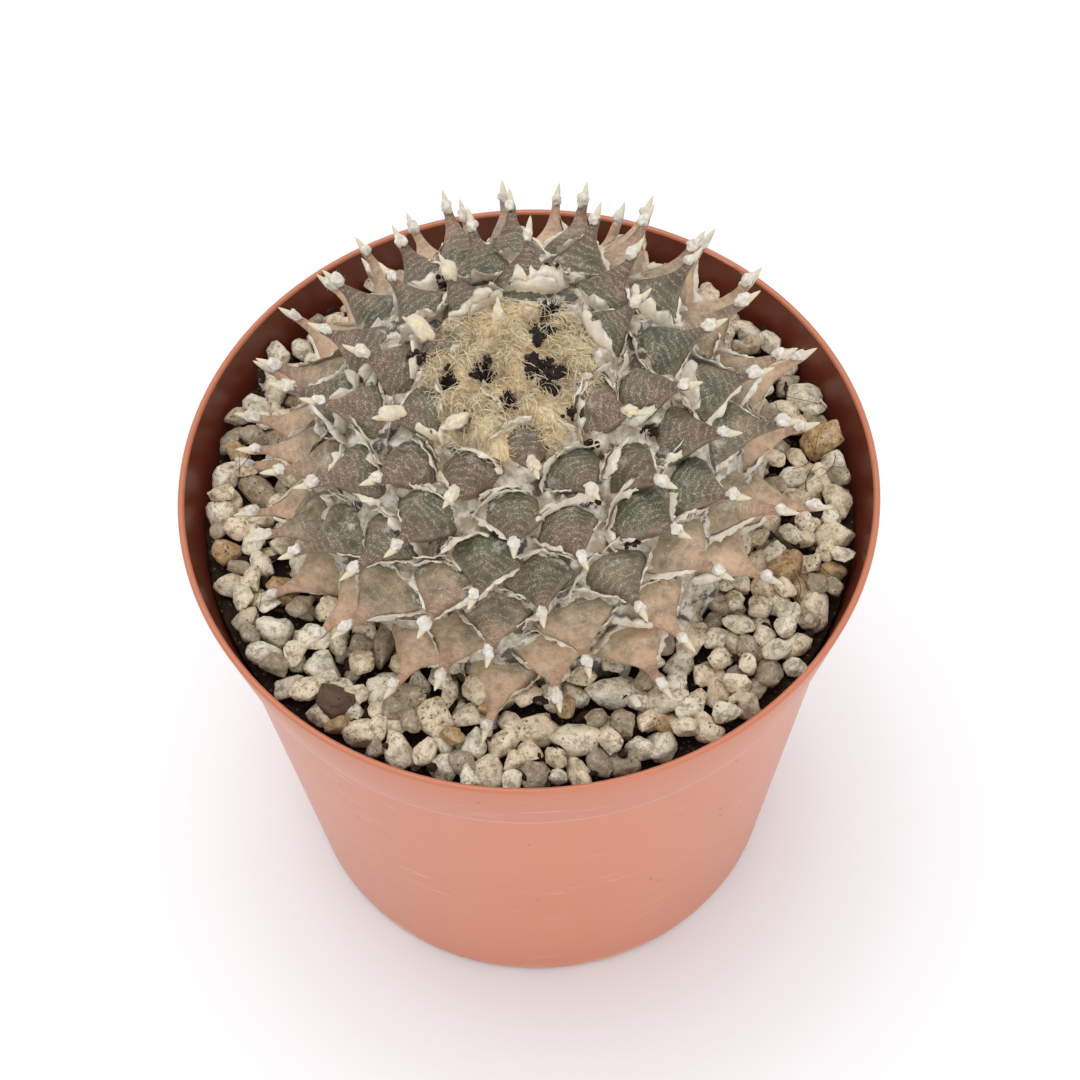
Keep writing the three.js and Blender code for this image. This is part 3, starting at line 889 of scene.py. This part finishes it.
def crown_height(plant, spots, x, y):
    """Height of the crown's felt above the plant's widest level, with a hollow at each flower."""
    distance = math.hypot(x, y)
    flat = Vector((x, y, 0))
    tufts = ((7, 3.6), (2.8, 1.8), (1, 0.6))
    lumps = sum(tall * noise.noise(flat / (wide * MM)) for wide, tall in tufts)
    share = min(distance / plant.crown_radius, 1)
    hollows = 0
    for cx, cy, radius in spots:
        hollows += 3.2 * math.exp(-((x - cx) ** 2 + (y - cy) ** 2) / (radius * 1.05) ** 2)
    rise = (plant.crown_thickness + (lumps - hollows) * MM) * math.sqrt(max(1 - share ** 3, 0))
    return dome_height(plant, distance) + rise


class CACTUS_OT_crown(bpy.types.Operator):
    """Felt the wool of the crown"""
    bl_idname = "cactus.crown"
    bl_label = "Crown wool"

    FIBRES = 2200

    def execute(self, context):
        plant = values(context, "cactus_plant")
        placement = plant_placement(plant)
        chance = random.Random(8)
        shape = bmesh.new()
        yellow = shape.verts.layers.float.new("yellow")
        spots = flower_spots(plant)

        def mound(co):
            flat = Vector((co.x, co.y, 0))
            edge = 0.94 + 0.6 * noise.noise(flat.normalized() * 1.9 + Vector((4, 0, 0)))
            x, y = co.x * plant.crown_radius * edge, co.y * plant.crown_radius * edge
            top = crown_height(plant, spots, x, y)
            low = dome_height(plant, math.hypot(x, y)) - 2 * MM
            point = placement @ Vector((x, y, top if co.z > 0 else mix(low, top, 1 + co.z)))
            return below_top(point + wobble(point, 1.1 * MM, 0.3 * MM))

        for vertex in stamp(shape, ball_template(6), mound):
            vertex[yellow] = 0.7
        rod = rod_template(3, 8)
        for _ in range(self.FIBRES):
            distance = plant.crown_radius * math.sqrt(chance.random()) * 0.95
            azimuth = chance.uniform(0, 2 * math.pi)
            x, y = distance * math.cos(azimuth), distance * math.sin(azimuth)
            heading = 9 * noise.noise(Vector((x, y, 3)) / (13 * MM)) + chance.uniform(-0.7, 0.7)
            turn = chance.uniform(-1.6, 1.6)
            long = chance.uniform(3, 10) * MM
            lift = abs(chance.gauss(0, 1.0)) * MM
            phase = chance.uniform(0, 6)

            def path(share):
                way = heading + turn * share + 0.3 * math.sin(5 * share + phase)
                px = x + math.cos(way) * long * share
                py = y + math.sin(way) * long * share
                loop = lift * math.sin(math.pi * min(max(share, 0), 1))
                loop *= 1 + 0.3 * math.sin(7 * share + phase)
                height = crown_height(plant, spots, px, py) + 0.05 * MM + loop
                return below_top(placement @ Vector((px, py, height)))

            shade = chance.uniform(0, 1.15)
            for vertex in strand(shape, rod, path, chance.uniform(0.07, 0.15) * MM):
                vertex[yellow] = shade
        pale, shade = screen(255, 246, 224), screen(250, 224, 178)
        material = woolly("crown_felt", pale, shade, 5 * MM, 0.06, plant.crown)
        finish_piece(shape, "crown_felt", material, ["crown_wool"])
        return {"FINISHED"}


class CACTUS_OT_flowers(bpy.types.Operator):
    """Crumple the dried flowers in the hollows of the crown"""
    bl_idname = "cactus.flowers"
    bl_label = "Dried flowers"

    PETALS = 16
    FIBRES = 90

    def execute(self, context):
        plant = values(context, "cactus_plant")
        placement = plant_placement(plant)
        chance = random.Random(3)
        shape = bmesh.new()
        ball = ball_template(3)
        rod = rod_template(4, 5)
        spots = flower_spots(plant)
        for cx, cy, radius in spots:
            top = placement @ Vector((cx, cy, crown_height(plant, spots, cx, cy) + 0.6 * MM))

            for crumb in range(self.PETALS):
                spread = radius * 0.9 * math.sqrt(crumb / (self.PETALS - 1))
                around = GOLDEN_ANGLE * crumb + chance.uniform(-0.5, 0.5)
                x, y = cx + spread * math.cos(around), cy + spread * math.sin(around)
                middle = placement @ Vector((x, y, crown_height(plant, spots, x, y) + 0.2 * MM))
                size = radius * chance.uniform(0.22, 0.5)

                def petal(co):
                    crumple = 0.9 + 0.7 * noise.noise(co * 2.2 + middle / MM) + 0.3 * noise.noise(co * 6)
                    return middle + Vector((co.x, co.y, co.z * 0.8)) * size * crumple

                stamp(shape, ball, petal)
            for _ in range(self.FIBRES):
                out = random_direction(chance)
                out.z = abs(out.z)
                foot = top + Vector((out.x * radius, out.y * radius, 0)) * chance.uniform(0.1, 1.1)
                long = chance.uniform(0.5, 1.5) * MM
                side = random_direction(chance) * chance.uniform(0.3, 1.4) * MM

                def path(share):
                    return foot + out * long * share + side * share ** 2

                strand(shape, rod, path, chance.uniform(0.08, 0.24) * MM)
        finish_piece(shape, "dried_flowers", flower_skin(plant), FLOWER_NODES)
        return {"FINISHED"}


# ---- Gravel ----


class Grain:
    """One stone as a ball for packing, later shaped into a lump of the same size."""

    def __init__(self, centre, radius):
        self.centre = centre
        self.radius = radius
        self.tone = None
        self.is_lava = False


def wall_radius_at(pot, z):
    """Inner radius of the pot's collar at a height."""
    share = (POT_HEIGHT - z) / pot.collar_height
    return RIM_RADIUS - pot.wall - pot.collar_taper * share


def packed_grains(pot, plant, gravel):
    """Drops grains one by one to the lowest of some tried places, until the gravel is full."""
    most_grains = 420
    most_misses = 40
    ring_start, ring_end = 40, 70
    nestling = 0.84
    settling = 0.85
    chance = random.Random(77)
    grains = []
    for name in STONE_NODES:
        low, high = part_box(name)
        grains.append(Grain((low + high) / 2, (high - low).length / 3.3))
    top = POT_HEIGHT - gravel.below_rim
    heart = Vector((plant.centre_x, plant.centre_y, 0))
    stem = plant.dome_radius - 1.5 * MM
    misses = 0
    while misses < most_misses and len(grains) < most_grains:
        radius = mix(gravel.smallest, gravel.largest, chance.random() ** 2) / 2
        best = None
        for _ in range(gravel.candidates):
            distance = math.sqrt(mix(ring_start ** 2, ring_end ** 2, chance.random())) * MM
            azimuth = chance.uniform(0, 2 * math.pi)
            x, y = distance * math.cos(azimuth), distance * math.sin(azimuth)
            if distance > wall_radius_at(pot, GRAVEL_TOP) - radius * 0.95:
                continue
            if math.hypot(x - heart.x, y - heart.y) < stem + radius * 0.4:
                continue
            z = GRAVEL_TOP + radius * 0.75
            for grain in grains:
                near = (radius + grain.radius) * nestling
                gap = (grain.centre.x - x) ** 2 + (grain.centre.y - y) ** 2
                if gap < near * near:
                    z = max(z, grain.centre.z + math.sqrt(near * near - gap) * settling)
            if best is None or z + radius * 0.8 < best[0]:
                best = (z + radius * 0.8, Vector((x, y, z)))
        if best is None or best[0] > top:
            misses += 1
            continue
        misses = 0
        grains.append(Grain(best[1], radius))
    return grains


class CACTUS_OT_gravel(bpy.types.Operator):
    """Fill the pot with pumice grains over a bed of soil and grit"""
    bl_idname = "cactus.gravel"
    bl_label = "Gravel"

    SHAPE_SEED = 12
    SHOWING = 150
    MARKED_RADIUS = 4.3 * MM
    # Stones that stand out: X and Y in millimetres, tone from pale to rusty, and whether it is lava.
    LAVA_STONE = (-40, -49, 0.5, True)
    OCHRE_STONES = ((64, 18, 0.97, False), (57, -18, 0.96, False))
    GREY_STONE = (-26, -48, 0.85, False)

    def bed(self, material):
        """A rough ring of grit that closes the gaps under the stones."""
        gap = 0.5 * MM
        inner = 30 * MM
        outer_low = BED_HIGH.x - 2.5 * MM
        profile = [(inner, BED_LOW.z + gap), (outer_low, BED_LOW.z + gap)]
        steps = 26
        outer = BED_HIGH.x - gap
        profile += [(mix(outer, inner, i / steps), GRAVEL_TOP) for i in range(steps + 1)]
        profile.append(profile[0])
        shape = turned(profile, 220)
        for vertex in shape.verts:
            if vertex.co.z > GRAVEL_TOP - gap:
                vertex.co.z += noise.noise(vertex.co / (3 * MM)) * 0.9 * MM
                vertex.co.z += noise.noise(vertex.co / (1.1 * MM)) * 0.5 * MM
        finish_piece(shape, "grit_bed", material, ["gravel_bed"])

    def shape_grain(self, shape, mesh, grain, chance, layers):
        """Rounds, flattens and pits a ball into one stone."""
        stretch = Vector((chance.uniform(0.95, 1.4), chance.uniform(0.75, 1.0), chance.uniform(0.62, 0.88)))
        turn = tumbled(chance, 0.5, 6.3)
        offset = Vector((chance.uniform(0, 90), chance.uniform(0, 90), chance.uniform(0, 90)))
        facets = []
        for _ in range(9):
            way = random_direction(chance)
            facets.append((way, chance.uniform(0.55, 0.88)))

        def place(co):
            point = co * (1 + 0.3 * noise.noise(co * 1.3 + offset))
            for way, reach in facets:
                over = point.dot(way) - reach
                if over > 0:
                    point = point - way * over * 0.88
            point = point * (1.1 + 0.1 * noise.noise(co * 3 + offset) + 0.05 * noise.noise(co * 8 + offset))
            scaled = Vector((point.x * stretch.x, point.y * stretch.y, point.z * stretch.z))
            return grain.centre + turn @ scaled * grain.radius

        tone = chance.random()
        if grain.tone is not None:
            tone = grain.tone
        for vertex in stamp(shape, mesh, place):
            vertex[layers["tone"]] = tone
            vertex[layers["lava"]] = 1 if grain.is_lava else 0

    def execute(self, context):
        names = ("cactus_pot", "cactus_plant", "cactus_gravel")
        pot, plant, gravel = (values(context, name) for name in names)
        soil = bark_skin(gravel)
        self.bed(soil)
        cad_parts["soil"].data.materials.clear()
        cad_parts["soil"].data.materials.append(soil)
        grains = packed_grains(pot, plant, gravel)
        grains.sort(key=lambda grain: grain.centre.z)
        buried = grains[:-self.SHOWING]
        showing = grains[-self.SHOWING:]
        for x, y, tone, is_lava in (self.LAVA_STONE, *self.OCHRE_STONES, self.GREY_STONE):
            place = Vector((x, y)) * MM
            grain = min(showing, key=lambda grain: (grain.centre.xy - place).length)
            grain.tone = tone
            grain.is_lava = is_lava
            grain.radius = max(grain.radius, self.MARKED_RADIUS)
        material = stone_skin(gravel)
        for name, members, detail, replaced in (
            ("lower_stones", buried, 3, STONE_NODES), ("upper_stones", showing, 4, ()),
        ):
            chance = random.Random(self.SHAPE_SEED)
            shape = bmesh.new()
            layers = {layer: shape.verts.layers.float.new(layer) for layer in ("tone", "lava")}
            mesh = ball_template(detail)
            for grain in members:
                self.shape_grain(shape, mesh, grain, chance, layers)
            finish_piece(shape, name, material, replaced)
        return {"FINISHED"}


class CACTUS_OT_debris(bpy.types.Operator):
    """Scatter bark flakes between the stones and a few loose hairs"""
    bl_idname = "cactus.debris"
    bl_label = "Bark and hairs"

    CRUMBS = 22
    HAIRS = 12
    HAIRS_RIGHT = 9
    HAIR_LENGTH = (8 * MM, 16 * MM)

    def execute(self, context):
        gravel, plant = (values(context, name) for name in ("cactus_gravel", "cactus_plant"))
        chance = random.Random(14)
        shape = bmesh.new()
        ball = ball_template(2)
        pebble = ball_template(1)
        for _ in range(gravel.flakes):
            distance = math.sqrt(mix(46 ** 2, 69 ** 2, chance.random())) * MM
            azimuth = chance.uniform(0, 2 * math.pi)
            centre = Vector((distance * math.cos(azimuth), distance * math.sin(azimuth),
                             GRAVEL_TOP + chance.uniform(2.5, 5.5) * MM))
            size = Vector((chance.uniform(0.8, 2.6), chance.uniform(0.4, 1.2), chance.uniform(0.2, 0.6))) * MM
            turn = tumbled(chance, 0.6, 6)

            def place(co):
                rough = 1 + 0.35 * noise.noise(co * 2 + centre / MM)
                return centre + turn @ Vector((co.x * size.x, co.y * size.y, co.z * size.z)) * rough

            stamp(shape, ball, place)
        for tubercle in tubercles(plant):
            if chance.random() > 0.3:
                continue
            heart = tubercle.surface(chance.uniform(0.6, 2.6), plant.rooting - 0.5 * MM, 1.6 * MM)
            for _ in range(self.CRUMBS):
                centre = heart + random_direction(chance) * chance.uniform(0.2, 2.4) * MM
                crumb = chance.uniform(0.25, 0.75) * MM

                def place(co):
                    return centre + co * crumb * (1 + 0.5 * noise.noise(co * 2 + centre / MM))

                stamp(shape, pebble, place)
        rod = rod_template(4, 16)
        for hair in range(self.HAIRS):
            azimuth = chance.uniform(-0.5, 0.45) + (math.pi if hair >= self.HAIRS_RIGHT else 0)
            foot = Vector((62 * math.cos(azimuth), 62 * math.sin(azimuth), 121)) * MM
            way = Vector((chance.uniform(-0.6, 0.6), chance.uniform(-1, 1), 0)).normalized()
            bend = random_direction(chance)
            long = chance.uniform(*self.HAIR_LENGTH)

            def path(share):
                return foot + way * long * (share - 0.5) + bend * 1.6 * MM * math.sin(5 * share)

            strand(shape, rod, path, 0.09 * MM)
        finish_piece(shape, "bark_flakes", bark_skin(gravel))
        return {"FINISHED"}


# ---- Stage ----


class CACTUS_OT_stage(bpy.types.Operator):
    """Lay a pale floor, light it softly and place the camera"""
    bl_idname = "cactus.stage"
    bl_label = "Stage"

    FLOOR_SIZE = 6.0
    LENS = 110.0
    SENSOR = 36.0
    CAMERA_PLACE = Vector((8.2, -393.1, 709.6)) * MM
    CAMERA_TURN = -0.0156
    CAMERA_TILT = 0.9959
    CAMERA_ROLL = 0.034

    def lay_floor(self, stage):
        paint = Paint("studio_floor")
        cloud = paint.noise(0.4, 2)
        base = paint.blend(cloud * 0.3, stage.surround, tuple(0.97 * channel for channel in stage.surround))
        material = paint.finish(base, 0.75, shine=0.2)
        shape = bmesh.new()
        bmesh.ops.create_grid(shape, x_segments=1, y_segments=1, size=self.FLOOR_SIZE / 2)
        mesh = template(shape)
        mesh.materials.append(material)
        floor = bpy.data.objects.new("studio_floor", mesh)
        bpy.context.scene.collection.objects.link(floor)

    def place_lamp(self, name, place, size, power):
        lamp = bpy.data.lights.new(name, "AREA")
        lamp.shape = "DISK"
        lamp.size = size
        lamp.energy = power
        holder = bpy.data.objects.new(name, lamp)
        holder.location = place
        holder.rotation_euler = (-Vector(place)).to_track_quat("-Z", "Y").to_euler()
        bpy.context.scene.collection.objects.link(holder)

    def place_camera(self):
        camera = bpy.data.cameras.new("camera")
        camera.lens = self.LENS
        camera.sensor_width = self.SENSOR
        camera.clip_end = 20
        turn, tilt, roll = self.CAMERA_TURN, self.CAMERA_TILT, self.CAMERA_ROLL
        right = Vector((math.cos(turn), -math.sin(turn), 0))
        ahead = Vector((math.sin(turn), math.cos(turn), 0))
        up = Vector((0, 0, 1))
        forward = ahead * math.cos(tilt) - up * math.sin(tilt)
        top = ahead * math.sin(tilt) + up * math.cos(tilt)
        rolled_right = right * math.cos(roll) - top * math.sin(roll)
        rolled_top = right * math.sin(roll) + top * math.cos(roll)
        basis = Matrix((rolled_right, rolled_top, -forward)).transposed().to_4x4()
        holder = bpy.data.objects.new("camera", camera)
        holder.matrix_world = Matrix.Translation(self.CAMERA_PLACE) @ basis
        bpy.context.scene.collection.objects.link(holder)
        bpy.context.scene.camera = holder

    def execute(self, context):
        stage = values(context, "cactus_stage")
        scene = context.scene
        scene.view_settings.view_transform = "Standard"
        world = bpy.data.worlds.new("surround")
        world.use_nodes = True
        background = world.node_tree.nodes["Background"]
        background.inputs["Color"].default_value = (*stage.surround, 1)
        background.inputs["Strength"].default_value = stage.surround_strength
        scene.world = world
        self.lay_floor(stage)
        self.place_lamp("key_lamp", (-0.15, 0.25, 1.5), 1.3, stage.key_power)
        self.place_lamp("fill_lamp", (0.35, -1.2, 0.5), 0.8, stage.fill_power)
        self.place_camera()
        return {"FINISHED"}


# ---- Add-on ----


STEPS = (CACTUS_OT_stage, CACTUS_OT_pot, CACTUS_OT_gravel, CACTUS_OT_debris, CACTUS_OT_plant,
         CACTUS_OT_areoles, CACTUS_OT_axil_wool, CACTUS_OT_crown, CACTUS_OT_flowers)
SETTINGS = {"cactus_pot": PotSettings, "cactus_plant": PlantSettings, "cactus_gravel": GravelSettings,
            "cactus_stage": StageSettings}


class CACTUS_PT_panel(bpy.types.Panel):
    """The steps that build the potted cactus"""
    bl_idname = "CACTUS_PT_panel"
    bl_label = "Potted Round Cactus"
    bl_space_type = "VIEW_3D"
    bl_region_type = "UI"
    bl_category = "Cactus"

    def draw(self, context):
        for step in STEPS:
            self.layout.operator(step.bl_idname, text=step.bl_label)
        for name, group in SETTINGS.items():
            box = self.layout.box()
            for setting in group.__annotations__:
                box.prop(getattr(context.scene, name), setting)


def register():
    # Blender seeds noise_vector(), which wobble() uses, by the clock unless it is set here.
    noise.seed_set(NOISE_SEED)
    for group in SETTINGS.values():
        bpy.utils.register_class(group)
    for name, group in SETTINGS.items():
        setattr(bpy.types.Scene, name, PointerProperty(type=group))
    for step in STEPS:
        bpy.utils.register_class(step)
    bpy.utils.register_class(CACTUS_PT_panel)


def unregister():
    bpy.utils.unregister_class(CACTUS_PT_panel)
    for step in reversed(STEPS):
        bpy.utils.unregister_class(step)
    for name in SETTINGS:
        delattr(bpy.types.Scene, name)
    for group in SETTINGS.values():
        bpy.utils.unregister_class(group)


def main():
    register()
    for step in STEPS:
        family, name = step.bl_idname.split(".")
        getattr(getattr(bpy.ops, family), name)()


if __name__ == "__main__":
    main()
